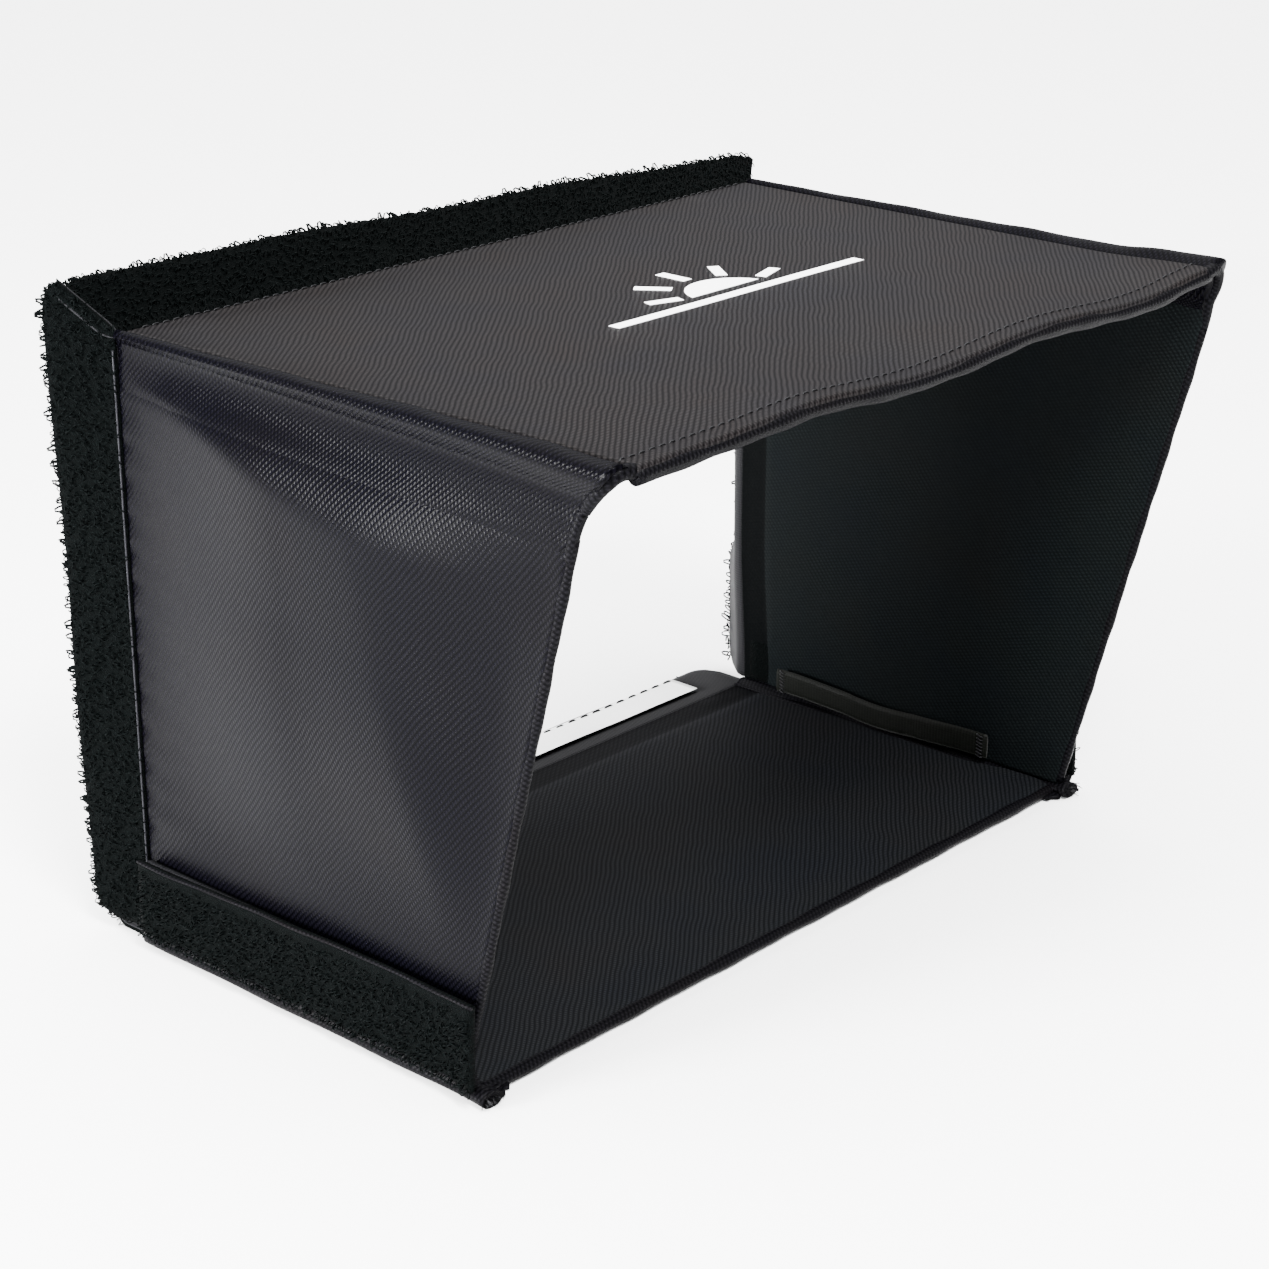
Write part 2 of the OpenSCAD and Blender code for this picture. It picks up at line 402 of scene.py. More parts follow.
def hook_material(name):
    """Moulded hook tape: rows of small shiny hooks."""
    tape = Surface(name, 0.35, 0.05)
    dots = tape.add("ShaderNodeTexVoronoi", "Distance",
                    {"Vector": tape.place("Object"), "Scale": 900.0, "Randomness": 0.25}, feature="F1")
    return tape.relief(1.0 - dots, 1.0, 0.4, (0.3, (0.001, 0.001, 0.0012)), (0.9, (0.009, 0.009, 0.01)))


def paper_material(name):
    """White release liner: smooth coated paper with faint fibres and a soft curl of shade."""
    paper = Surface(name, 0.42)
    place = paper.place("Object")
    shade = paper.noise(place, 900.0, 4.0, 0.65) * 0.4 + paper.noise(place, 45.0) * 0.6
    return paper.relief(shade, 0.25, 0.1, (0.25, (0.74, 0.75, 0.75)), (0.7, (0.9, 0.9, 0.89)))


def print_material(name):
    """White transfer print that lets the twill's ribs show through a little, slightly worn."""
    ink = Surface(name, 0.45, 0.45)
    flat, u, v = ink.weave()
    wear = ink.ramp(ink.noise(flat, 1.3, 5.0, 0.75), (0.25, (0.7, 0.7, 0.71)), (0.36, (0.93, 0.93, 0.93)))
    return ink.finish(wear, (u * 0.4 + v * 0.5).wave(), 0.35, 0.08)


def board_material(name):
    """Grey pressed board that stiffens a panel."""
    board = Surface(name, 0.8)
    flecks = board.noise(board.place("Object"), 500.0, 6.0, 0.7)
    return board.relief(flecks, 0.3, 0.1, (0.3, (0.12, 0.12, 0.12)), (0.7, (0.26, 0.26, 0.25)))


# The outer twill is one cloth in three copies whose colours differ by painted light: painted shade makes the side
# copy darkest and the hem copy darker, and the top copy, also used on the bottom, is the lit one.
COVER_SHADED_SIDE = twill("twill_side", (0.0001, 0.0001, 0.0002), (0.0012, 0.0011, 0.0019), 50, 0.016, roughness=0.26)
COVER_LIT = twill("twill_top", (0.0004, 0.0003, 0.0004), (0.0084, 0.0075, 0.0077), 128, 0.018)
COVER_HEM_SHADED = twill("twill_hem", (0.0003, 0.0003, 0.0004), (0.003, 0.0028, 0.0034), 70, 0.012)
# The lining is one cloth in two copies: painted shade makes the side walls' copy darker than the lit copy used on
# the top and bottom.
LINING_SHADED_SIDE = twill("lining_side", (0.0008, 0.0011, 0.0012), (0.0034, 0.0044, 0.0046), 130, 0.01,
                    roughness=0.62, sheen=0.006, depth=0.1, margin=SEWN_MARGIN / MM)
LINING_LIT_FLAT = twill("lining_flat", (0.0008, 0.001, 0.0012), (0.0058, 0.0062, 0.007), 128, 0.02,
                    roughness=0.6, sheen=0.01, depth=0.12, margin=SEWN_MARGIN / MM)
PILE_GROUND = pile("loop_ground", (0.0001, 0.0002, 0.0002), (0.0006, 0.001, 0.001))
PILE_YARN = yarn("loop_yarn", (0.0002, 0.0004, 0.0004), (0.0013, 0.0019, 0.0019), 0.6, sheen=0.001, gloss=0.012)
BACKING = webbing("backing_web", (0.001, 0.001, 0.0012), (0.006, 0.006, 0.007))
STRAP = webbing("strap_web", (0.0005, 0.0007, 0.0005), (0.0026, 0.0029, 0.0023), rib=1.2, roughness=0.5)
THREAD = yarn("thread", (0.0015, 0.0015, 0.0018), (0.007, 0.007, 0.008), 0.4, sheen=0.01, gloss=0.08)
PIPING = yarn("piping", (0.003, 0.003, 0.004), (0.011, 0.011, 0.013), 0.3, sheen=0.005, gloss=0.06)
HOOKS = hook_material("hook_tape")
PAPER = paper_material("liner_paper")
PRINT = print_material("white_print")
BOARD = board_material("stiffener_board")



# ---------------------------------------------------------------- cloth simulation

CLOTH_STEP = 4 * MM    # spacing of a simulated cloth's points
CLOTH_SLACK = 0.004    # share by which each cloth is cut larger than its frame
CLOTH_FRAMES = 20
SEWN, LAID_ON = 1.0, 0.06  # how firmly the cloth's edge is held, and the rest of it


def simulated_crown(name, length, width, pressure=1.6, cap=3.0 * MM):
    """Heights of a cloth cover, sewn down all round and padded, as a function of (distance in, distance along).

    A flat sheet slightly larger than its frame is pinned at its edges, held softly to its board
    everywhere else and pushed outwards by the padding, which leaves it crowned and a little uneven."""
    rows, columns = round(length / CLOTH_STEP) + 1, round(width / CLOTH_STEP) + 1
    xs, ys = np.linspace(0, length, rows), np.linspace(0, width, columns)
    grid_x, grid_y = np.meshgrid(xs, ys, indexing="ij")
    start = 0.35 * MM * ripple(grid_x / 0.035, grid_y / 0.035, name)
    rim = np.minimum.reduce([grid_x, length - grid_x, grid_y, width - grid_y])
    start = start * smooth(rim / (8 * MM))
    heights = run_cloth(name, np.stack([grid_x, grid_y, start], -1), rim, pressure)
    heights = cap * np.tanh(np.maximum(heights, -0.2 * MM) / cap)

    def height_at(inward, along):
        i = np.clip(inward / length * (rows - 1), 0, rows - 1.001)
        j = np.clip(along / width * (columns - 1), 0, columns - 1.001)
        i0, j0 = i.astype(int), j.astype(int)
        a, b = smooth(i - i0), smooth(j - j0)
        near = heights[i0, j0] * (1 - b) + heights[i0, j0 + 1] * b
        far = heights[i0 + 1, j0] * (1 - b) + heights[i0 + 1, j0 + 1] * b
        return near * (1 - a) + far * a

    return height_at


def run_cloth(name, points, rim, pressure):
    """Heights of a cloth's points after the simulation; rim is each point's distance from the sewn edge."""
    rows, columns = rim.shape
    sheet = add_mesh("sim_" + name, points.reshape(-1, 3), grid_faces(rows, columns))
    held = sheet.vertex_groups.new(name="held")
    for index, inward in enumerate(rim.ravel()):
        held.add([index], SEWN if inward < 1 * MM else LAID_ON, "REPLACE")
    cloth = sheet.modifiers.new("Cloth", "CLOTH")
    settings = cloth.settings
    settings.vertex_group_mass = "held"
    settings.pin_stiffness = 0.4
    settings.mass = 0.15
    settings.tension_stiffness = settings.compression_stiffness = 12
    settings.bending_stiffness = 0.4
    settings.shrink_min = -CLOTH_SLACK
    settings.effector_weights.gravity = 0
    settings.use_pressure = True
    settings.uniform_pressure_force = pressure
    cloth.collision_settings.use_collision = False
    for number in range(1, CLOTH_FRAMES + 1):
        bpy.context.scene.frame_set(number)
    graph = bpy.context.evaluated_depsgraph_get()
    result = sheet.evaluated_get(graph).to_mesh()
    heights = np.array([v.co.z for v in result.vertices]).reshape(rows, columns)
    sheet.evaluated_get(graph).to_mesh_clear()
    bpy.data.objects.remove(sheet, do_unlink=True)
    bpy.context.scene.frame_set(1)
    return heights


# ---------------------------------------------------------------- padded panels

class Panel:
    """A padded board panel. Corners run rear start, rear end, front end, front start, at its mid-plane."""

    def __init__(self, name, corners, outward, belly=0.0):
        self.name = name
        self.belly = belly
        self.corners = [np.array(c, dtype=float) for c in corners]
        self.outward = np.array(outward, dtype=float)
        rear_start, rear_end, front_end, front_start = self.corners
        self.length = max(np.linalg.norm(front_start - rear_start), np.linalg.norm(front_end - rear_end))
        self.width = np.linalg.norm(rear_end - rear_start)

    def at(self, s, t, out):
        """Point at share s from rear to front and share t from start to end, out metres off mid-plane."""
        rear_start, rear_end, front_end, front_start = self.corners
        s, t, out = (np.asarray(a, dtype=float)[..., None] for a in (s, t, out))
        place = (1 - s) * ((1 - t) * rear_start + t * rear_end) + s * ((1 - t) * front_start + t * front_end)
        return settle(place + self.outward * out)

    def depth_at(self, t):
        rear_start, rear_end, front_end, front_start = self.corners
        return (1 - t) * np.linalg.norm(front_start - rear_start) + t * np.linalg.norm(front_end - rear_end)


def edge_steps(length):
    """Shares from 0 to 1, closer together where the edge is rounded."""
    step = 2.2 * MM
    close = HALF_T * np.array([0, 0.12, 0.3, 0.55, 0.85, 1.3, 2.0])
    inner = np.linspace(close[-1] + step, length - close[-1] - step,
                        max(3, round((length - 2 * close[-1]) / step)))
    return np.concatenate([close, inner, length - close[::-1]]) / length


SINK_BAND = 15 * MM        # band below a side panel's top edge that sinks under the corner fold
WING_TOP, WING_EASE = 26, 20  # height of the flat foot behind a wing and of the change above it, millimetres
WAVE_LENGTH = 0.11
PUCKER_PITCH, PUCKER_REACH = 10.5 * MM, 7 * MM


def stand_off(panel, crown, s, t, belly=0.0, puckers=0.0):
    """How far a panel's face stands off its mid-plane at shares s and t: (height, inward, along, rim).

    A face with a belly sinks towards its top edge and lies flat at its foot, behind the wing."""
    inward = s * panel.depth_at(t)
    along = t * panel.width
    rim = np.minimum.reduce([inward, panel.depth_at(t) - inward, along, panel.width - along])
    edge = np.clip(rim / HALF_T, 0, 1)
    out = HALF_T * np.sqrt(np.clip(1 - (1 - edge) ** 2, 0, 1))
    swell = crown(s * panel.length, along) * smooth(rim / (2.5 * MM))
    if belly:
        sunk = smooth((panel.width - along) / SINK_BAND)
        out, swell = out * (0.25 + 0.75 * sunk), swell * sunk
        flat_foot, wave_height = 0.12 + 0.88 * smooth((along / MM - WING_TOP) / WING_EASE), 0.7 * MM
    else:
        flat_foot, wave_height = 1, 0.35 * MM
    waves = wave_height * ripple(inward / WAVE_LENGTH, along / WAVE_LENGTH, panel.name) * smooth(rim / (14 * MM))
    out = out + (swell + waves) * flat_foot
    if belly:
        out = out + belly * side_belly(inward, panel.depth_at(t) - inward, panel.width - along, along)
    if puckers:
        uneven = 1.8 * ripple(along / 0.05, along * 0, 5)
        swing = 0.5 + 0.5 * np.cos(math.tau * along / PUCKER_PITCH + uneven)
        out = out - puckers * swing * np.exp(-inward / PUCKER_REACH) * smooth(rim / (1.5 * MM))
    return out, inward, along, rim


def side_belly(from_seam, from_front, from_top, from_foot):
    """0 to 1: a side panel's cloth is fullest towards the rear and falls away to its open top corner.

    The widths of the bands along its edges are in millimetres."""
    above_wing = smooth((from_foot / MM - 28) / 85)
    from_seam, from_front, from_top = (d / MM for d in (from_seam, from_front, from_top))
    front_band = np.maximum(14, 70 - 0.5 * np.maximum(from_top - 30, 0))
    top_band = 13 + 15 * smooth((from_seam - 10) / 100)
    near_front = smooth(from_front / front_band)
    near_top = smooth(from_top / top_band)
    return near_front * near_top * smooth(from_seam / 70) * above_wing


def skin(panel, side, crown, puckers=0.0):
    """Grids for a panel's outer (side 1) or inner (-1) face: (face points, mid-plane points, coordinates)."""
    s, t = np.meshgrid(edge_steps(panel.length), edge_steps(panel.width), indexing="ij")
    out, inward, along, rim = stand_off(panel, crown, s, t, panel.belly if side > 0 else 0.0, puckers)
    if side < 0:
        sewn_down = 1 - smooth((inward - SEWN_MARGIN) / (1.6 * MM))
        out = out - 0.7 * MM * sewn_down * smooth(rim / HALF_T)
    outer = panel.at(s, t, side * out)
    middle = panel.at(s, t, side * 0.02 * MM + 0 * out)
    return outer, middle, np.stack([inward, along], -1)


def add_cover(panel, body, material, *nodes, puckers=0.0, cap=3.0 * MM):
    crown = simulated_crown(panel.name + "_cover", panel.length, panel.width, cap=cap)
    outer, middle, flat = skin(panel, 1, crown, puckers=puckers)
    piece = closed_slab(panel.name + "_cover_cloth", outer, middle, flat)
    dress(piece, body, material, "cover_cloth", *nodes)
    return crown


def add_lining(panel, body, material, *nodes):
    crown = simulated_crown(panel.name + "_lining", panel.length, panel.width, pressure=0.9, cap=1.2 * MM)
    outer, middle, flat = skin(panel, -1, crown)
    piece = closed_slab(panel.name + "_lining_cloth", outer[:, ::-1], middle[:, ::-1], flat[:, ::-1])
    dress(piece, body, material, "lining_cloth", *nodes)


def add_board(panel, body, node):
    """Stiffening board between a panel's cover and lining, bent as the panel settles."""
    rear, edge, half = 16 * MM, 9 * MM, 0.4 * MM  # margins round the board, and half its thickness
    s, t = np.meshgrid(np.linspace(rear / panel.length, 1 - edge / panel.length, 60),
                       np.linspace(edge / panel.width, 1 - edge / panel.width, 60), indexing="ij")
    flat = np.stack([s * panel.length, t * panel.width], -1)
    piece = closed_slab(panel.name + "_board", panel.at(s, t, half + 0 * s), panel.at(s, t, 0 * s - half), flat)
    dress(piece, body, BOARD, "stiffener_board", node)


def corner_reach(y):
    """Width of the soft corner fold on the top and on the side, growing from the seam to the front."""
    share = (SEAM_Y - y) / (SEAM_Y - TOP_FRONT_Y)
    return (3 + 5.5 * share) * MM, (4 + 9 * share) * MM


def side_panel(name, sign, set_back=0.0):
    """sign is -1 on the left and 1 on the right; set_back is how far its open edge stays behind the top's."""
    x = sign * (HALF_WIDTH - HALF_T)
    rear_top = TOP_Z - corner_reach(SEAM_Y)[1]
    front_top = TOP_Z - corner_reach(TOP_FRONT_Y)[1]
    corners = [(x, SEAM_Y, FOOT_Z), (x, SEAM_Y, rear_top),
               (x, front_y(front_top) + set_back, front_top), (x, front_y(FOOT_Z) + set_back, FOOT_Z)]
    return Panel(name, corners, (sign, 0, 0), belly=6.5 * MM)


def flat_panel(name, z, rear_half, front_half, front, outward):
    corners = [(-rear_half, SEAM_Y, z), (rear_half, SEAM_Y, z), (front_half, front, z), (-front_half, front, z)]
    return Panel(name, corners, (0, 0, outward))


TOP = flat_panel("top", TOP_Z - HALF_T, HALF_WIDTH - corner_reach(SEAM_Y)[0],
                 HALF_WIDTH - corner_reach(TOP_FRONT_Y)[0], TOP_FRONT_Y, 1)
BOTTOM = flat_panel("bottom", HALF_T, HALF_WIDTH, HALF_WIDTH, FOOT_FRONT_Y, -1)
LEFT_SET_BACK = 8 * MM
LEFT = side_panel("left", -1, LEFT_SET_BACK)
RIGHT = side_panel("right", 1)

top_crown = add_cover(TOP, "canopy", COVER_LIT, "top_cover", cap=2.4 * MM)
add_lining(TOP, "canopy", LINING_LIT_FLAT, "top_lining")
left_crown = add_cover(LEFT, "left_side", COVER_SHADED_SIDE, "left_cover", puckers=0.9 * MM)
add_lining(LEFT, "left_side", LINING_SHADED_SIDE, "left_lining")
right_crown = add_cover(RIGHT, "right_side", COVER_SHADED_SIDE, "right_cover", puckers=0.9 * MM)
add_lining(RIGHT, "right_side", LINING_SHADED_SIDE, "right_lining")
add_lining(BOTTOM, "base", LINING_LIT_FLAT, "bottom_lining")
bottom_outer, bottom_middle, bottom_flat = skin(BOTTOM, 1, lambda inward, along: 0 * inward)
bottom_outer[..., 2] = np.maximum(bottom_outer[..., 2], 0.2 * MM * (1 - smooth(bottom_flat[..., 0] / (4 * MM))))
bottom_cover = closed_slab("bottom_cover_cloth", bottom_outer, bottom_middle, bottom_flat)
dress(bottom_cover, "base", COVER_LIT, "cover_cloth", "bottom_cover")
for panel, body, node in ((TOP, "canopy", "top_stiffener"), (LEFT, "left_side", "left_stiffener"),
                          (RIGHT, "right_side", "right_stiffener"), (BOTTOM, "base", "bottom_stiffener")):
    add_board(panel, body, node)


# ---------------------------------------------------------------- soft corner folds

CORNER_TAIL = 13     # how far a corner's cloth runs down over its side panel, in millimetres
CORNER_POINTS = 46   # points across a corner's cloth


def corner_lines(panel, crown, share):
    """Cross-sections of a corner at a share of its run, in millimetres in from the side and up from the top."""
    on_top, on_side = (r / MM for r in corner_reach(SEAM_Y + (TOP_FRONT_Y - SEAM_Y) * share))
    puff = 1 + 0.18 * math.sin(share * 23) + 0.1 * math.sin(share * 51 + 1)
    full = 0.45 + 0.55 * share
    outline = [(on_top + 2.0, -2.2), (on_top + 0.1, -1.9), (0.78 * on_top, -0.2 * puff),
               (0.42 * on_top, 1.6 * puff * full), (0.1, 0.6 * full), (-1.1 * full, -0.1 * on_side - 0.4),
               (-0.9 * full, -0.27 * on_side), (0.4 * full, -0.5 * on_side), (1.7 * full, -0.75 * on_side)]
    for below, lift in ((2.2, 0.3), (5.5, 0.3), (9.5, 0.22), (CORNER_TAIL, -0.3)):  # laid on the panel's own face
        t = (TOP_Z - FOOT_Z - (on_side + below) * MM) / (TOP_Z - FOOT_Z - on_side * MM)
        out = float(stand_off(panel, crown, np.array(share), np.array(t), panel.belly)[0])
        outline.append(((HALF_T - out) / MM - lift, -on_side - below))
    fillet = 1.5 + 6.5 * share * share
    start_in = max(on_top, fillet + 3.6)
    inside = [(start_in + 3.0, -2.2), (start_in, -3.6), (3.6 + 0.3 * fillet, -3.6 - 0.3 * fillet),
              (3.6, -3.8 - fillet), (3.2, -on_side - 1.5), (2.0, -on_side - 5), (2.0, -on_side - CORNER_TAIL)]
    return spline(outline, CORNER_POINTS), spline(inside, CORNER_POINTS)


def corner_fold(side, sign, panel, crown, set_back):
    """Cloth that crosses from the top to a side panel: a groove, a puffed ridge, then a hollow that runs out."""
    rows = []
    for share in np.linspace(0.002, 0.998, 84):
        outer_line, inner_line = corner_lines(panel, crown, share)
        foot = (TOP_Z - FOOT_Z) / MM + outer_line[-1][1]
        steps = [math.dist(a, b) for a, b in zip(outer_line, outer_line[1:])]
        rows.append([(corner_place(*a, share, sign, set_back), corner_place(*b, share, sign, set_back),
                      (share * panel.length, (foot + sum(steps[k:])) * MM))
                     for k, (a, b) in enumerate(zip(outer_line, inner_line))])
    piece = slab_of_rows(side + "_corner_cloth", rows, turned=sign > 0, settled=True)
    dress(piece, None, COVER_SHADED_SIDE, "cover_cloth", side + "_corner_fold")
    ends = (settle([spot[k] for spot in rows[-1]]) for k in (0, 1))
    hem_path = [(a + b) / 2 for a, b in zip(*ends)]

    hem = tube_mesh(side + "_corner_hem", [hem_path[2:]], lambda run: (2.2 - 0.8 * run) * MM, sides=10)
    dress(hem, None, COVER_HEM_SHADED, "cover_cloth")
    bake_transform(piece)
    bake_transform(hem)


def corner_place(x, z, share, sign, set_back):
    """Corner outlines are (in from the side, up from the top) in millimetres."""
    height = TOP_Z + z * MM
    front = front_y(min(height, TOP_Z)) + set_back * float(smooth(-z / 13)) + 0.5 * MM
    return sign * (HALF_WIDTH - x * MM), SEAM_Y + (front - SEAM_Y) * share, height


def spline(points, count):
    """Catmull-Rom curve through 2-D points."""
    points = [np.array(p, dtype=float) for p in points]
    points = [2 * points[0] - points[1], *points, 2 * points[-1] - points[-2]]
    made = []
    for k in range(count):
        run = k / (count - 1) * (len(points) - 3) * 0.99999
        i, f = int(run), run - int(run)
        a, b, c, d = points[i:i + 4]
        made.append(0.5 * ((2 * b) + (c - a) * f + (2 * a - 5 * b + 4 * c - d) * f * f
                           + (3 * b - a - 3 * c + d) * f ** 3))
    return made


corner_fold("left", -1, LEFT, left_crown, LEFT_SET_BACK)
corner_fold("right", 1, RIGHT, right_crown, 0.0)


# ---------------------------------------------------------------- loop pile and stitches

def loop_paths(spots, height, width, turned):
    """Small arches of yarn that stand on a tape: spots are (point, outward, along).

    Each is turned away from the tape's length by a random angle below turned."""
    paths = []
    for point, outward, along in spots:
        spin = dice.uniform(0, turned)
        side = along.cross(outward).normalized()
        across = along * math.cos(spin) + side * math.sin(spin)
        lean = (across.cross(outward) * dice.uniform(-0.7, 0.7) + outward).normalized()
        tall, wide = height * dice.uniform(0.6, 1.25), width * dice.uniform(0.7, 1.3)
        curl = dice.uniform(-0.3, 0.3)
        arch = []
        for k in range(6):
            turn = math.pi * (k / 5 * 1.16 - 0.08)
            rise = math.sin(turn) * tall
            arch.append(point + across * (-math.cos(turn) * wide / 2 + curl * rise) + lean * rise)
        paths.append(arch)
    return paths


def add_loops(name, body, spots, height=1.9 * MM, width=1.5 * MM, radius=0.2 * MM, turned=math.tau):
    piece = tube_mesh(name, loop_paths(spots, height, width, turned), radius, sides=4)
    return dress(piece, body, PILE_YARN, "loop_tape")


def scatter(surface, length, width, spacing):
    """Spots on a tape; surface(along, across) gives (point, outward, along direction)."""
    jitter = 0.45  # of the spacing
    spots = []
    rows, columns = max(1, round(length / spacing)), max(1, round(width / spacing))
    for i in range(rows):
        for j in range(columns):
            a = (i + 0.5 + dice.uniform(-jitter, jitter)) / rows * length
            b = (j + 0.5 + dice.uniform(-jitter, jitter)) / columns * width
            spots.append(surface(a, b))
    return spots


def add_stitches(name, body, runs, stitch=2.6 * MM, gap=1.0 * MM, radius=0.22 * MM):
    """Rows of machine stitches: each run is (function of share, length, outward)."""
    paths = []
    for place, length, outward in runs:
        outward = Vector(outward)
        count = int(length / (stitch + gap))
        for k in range(count):
            a, b = (k + 0.15) / count, (k + 0.15 + stitch / (stitch + gap)) / count
            start, end = Vector(place(a)), Vector(place(b))
            middle = Vector(place((a + b) / 2)) + outward * 0.28 * MM
            paths.append([start - outward * 0.3 * MM, start.lerp(middle, 0.45) + outward * 0.12 * MM, middle,
                          end.lerp(middle, 0.45) + outward * 0.12 * MM, end - outward * 0.3 * MM])
    piece = tube_mesh(name, paths, radius, sides=5)
    return dress(piece, body, THREAD, "thread")


# ---------------------------------------------------------------- rear collar

REAR = Vector((0, 1, 0))


class Flange:
    """One side of the rear collar. It leaves the seam straight back and flares outwards.

    flares are (share of its length, degrees); mitres are how fast each end runs on past the seam's
    end to meet the next flange; an end with no mitre has a rounded corner."""

    def __init__(self, name, start, end, outward, flares, mitres=(0.0, 0.0)):
        self.name = name
        self.start, self.outward = Vector(start), Vector(outward)
        self.length = (Vector(end) - self.start).length
        self.direction = (Vector(end) - self.start).normalized()
        self.flares = flares
        self.mitres = mitres

    def frame_at(self, share, across):
        """(point on the outer face, outward normal) at a share of the length and a distance across."""
        first, last = self.mitres
        along = -first * across + share * (self.length + (first + last) * across)
        flare = math.radians(float(np.interp(share, *zip(*self.flares))))
        flare += math.radians(2.5) * math.sin(along / MM / 19 + len(self.name)) * math.sin(math.pi * share)
        steps = 10  # the curve from the seam is added up in this many
        back, out = 0.0, 0.0
        for k in range(steps):
            angle = flare * float(smooth(across * (k + 0.5) / steps / FLANGE_BEND))
            back += math.cos(angle) * across / steps
            out += math.sin(angle) * across / steps
        angle = flare * float(smooth(across / FLANGE_BEND))
        point = self.start + self.direction * along + REAR * back + self.outward * out
        return point, self.outward * math.cos(angle) - REAR * math.sin(angle)

    def width_at(self, share):
        """Width of the tape, less where its rear corners are rounded."""
        width = VISIBLE_W
        for near, mitre in ((share, self.mitres[0]), (1 - share, self.mitres[1])):
            run = near * (self.length + sum(self.mitres) * VISIBLE_W)
            radius, reach = MITRED_CORNER if mitre else (FLANGE_CORNER, FLANGE_CORNER)
            short = max(reach - run, 0)
            width = min(width, VISIBLE_W - radius + math.sqrt(radius * radius - short * short))
        return width


def end_steps(length, close, count):
    """Shares from 0 to 1 with extra ones within a distance of each end."""
    near = np.linspace(0, close / length, 8)[:-1]
    return np.concatenate([near, np.linspace(close / length, 1 - close / length, count), 1 - near[::-1]])


def add_tape(flange, body, layer, inner, outer, material, slot, node):
    """A layer of the collar between two heights above the panel's outer face (negative is inwards)."""
    rows = []
    for share in end_steps(flange.length, MITRED_CORNER[1], round(flange.length / TAPE_STEP)):
        width = flange.width_at(share)
        row = []
        for j in range(TAPE_CELLS + 1):
            across = width * j / TAPE_CELLS
            point, normal = flange.frame_at(share, across)
            edge = min(across, width - across, share * flange.length, (1 - share) * flange.length)
            soft = 0.35 * MM * (1 - float(smooth(edge / (1.2 * MM))))
            row.append((point + normal * (outer - soft), point + normal * (inner + soft * 0.3),
                        (share * flange.length, across)))
        rows.append(row)
    turned = flange.direction.cross(REAR).dot(flange.outward) > 0
    piece = slab_of_rows(flange.name + "_" + layer, rows, turned, settled=True)
    return dress(piece, body, material, slot, node)


def mitre(own, other):
    """How fast a flange of one flare runs on to meet a flange of another, in degrees."""
    return math.cos(math.radians(own)) * math.tan(math.radians(other))


FLANGE_CORNER = 8 * MM                # radius of the corners with no mitre
MITRED_CORNER = 22 * MM, 14 * MM      # radius of the others, and how far along the tape it begins
TAPE_STEP, TAPE_CELLS = 2.5 * MM, 14  # spacing of a tape's points along it, and cells across it
FLANGE_BEND = 6 * MM                  # width over which the tape turns from straight back to its flare
VISIBLE_W = FLANGE_W + 1.5 * MM
TAPE_T, BACKING_T = 1.2 * MM, 0.7 * MM
TOP_LEFT, TOP_RIGHT = (-HALF_WIDTH, SEAM_Y, TOP_Z), (HALF_WIDTH, SEAM_Y, TOP_Z)
TOP_FLARES = ((0, 42), (0.5, 28), (1, 7))
LEFT_FLARES = ((0, 12), (1, 29))
RIGHT_FLARES = ((0, 40), (0.22, 43), (0.27, 52), (1, 52))
flanges = {
    "top": (Flange("top_flange", TOP_LEFT, TOP_RIGHT, (0, 0, 1), TOP_FLARES, (mitre(42, 29), mitre(7, 52))),
            "canopy"),
    "left": (Flange("left_flange", (-HALF_WIDTH, SEAM_Y, FOOT_Z), TOP_LEFT, (-1, 0, 0), LEFT_FLARES,
                    (0.0, mitre(29, 42))), "left_side"),
    "right": (Flange("right_flange", (HALF_WIDTH, SEAM_Y, FOOT_Z), TOP_RIGHT, (1, 0, 0), RIGHT_FLARES,
                     (0.0, mitre(52, 7))), "right_side"),
    "bottom": (Flange("bottom_flange", (-HALF_WIDTH, SEAM_Y, 0), (HALF_WIDTH, SEAM_Y, 0), (0, 0, -1),
                      ((0, 0), (1, 0))), "base"),
}
for side, (flange, body) in flanges.items():
    face = 0.0 if side == "bottom" else 0.2 * MM
    add_tape(flange, body, "tape", face - TAPE_T, face, PILE_GROUND, "loop_tape", side + "_flange_loop_tape")
    add_tape(flange, body, "backing", face - TAPE_T - BACKING_T, face - TAPE_T, BACKING, "woven_backing",
             side + "_flange_backing")


def flange_loops(side):
    flange, body = flanges[side]

    def place(along, across):
        share = along / flange.length
        if across > flange.width_at(share):
            return None
        point, normal = flange.frame_at(share, across)
        return point - normal * 0.2 * MM, normal, flange.direction

    spots = [s for s in scatter(place, flange.length, VISIBLE_W - 0.6 * MM, 1.9 * MM) if s]
    spots += rim_spots(flange, 0, 1)
    add_loops(side + "_flange_loops", body, [(Vector(settle(np.array(p))), n, d) for p, n, d in spots])


def rim_spots(flange, first, last, pitch=1.1 * MM):
    """Places for loops round the rear edge and the free ends of a flange, between two shares."""
    spots = []
    count = round(flange.length * (last - first) / pitch)
    for k in range(count):
        share = first + (last - first) * (k + dice.uniform(0.1, 0.9)) / count
        point, normal = flange.frame_at(share, flange.width_at(share) - 0.5 * MM)
        outward = normal * dice.uniform(-0.3, 0.9) + REAR * dice.uniform(0.7, 1.3)
        spots.append((point - normal * 0.6 * MM, outward.normalized(), flange.direction))
    return spots


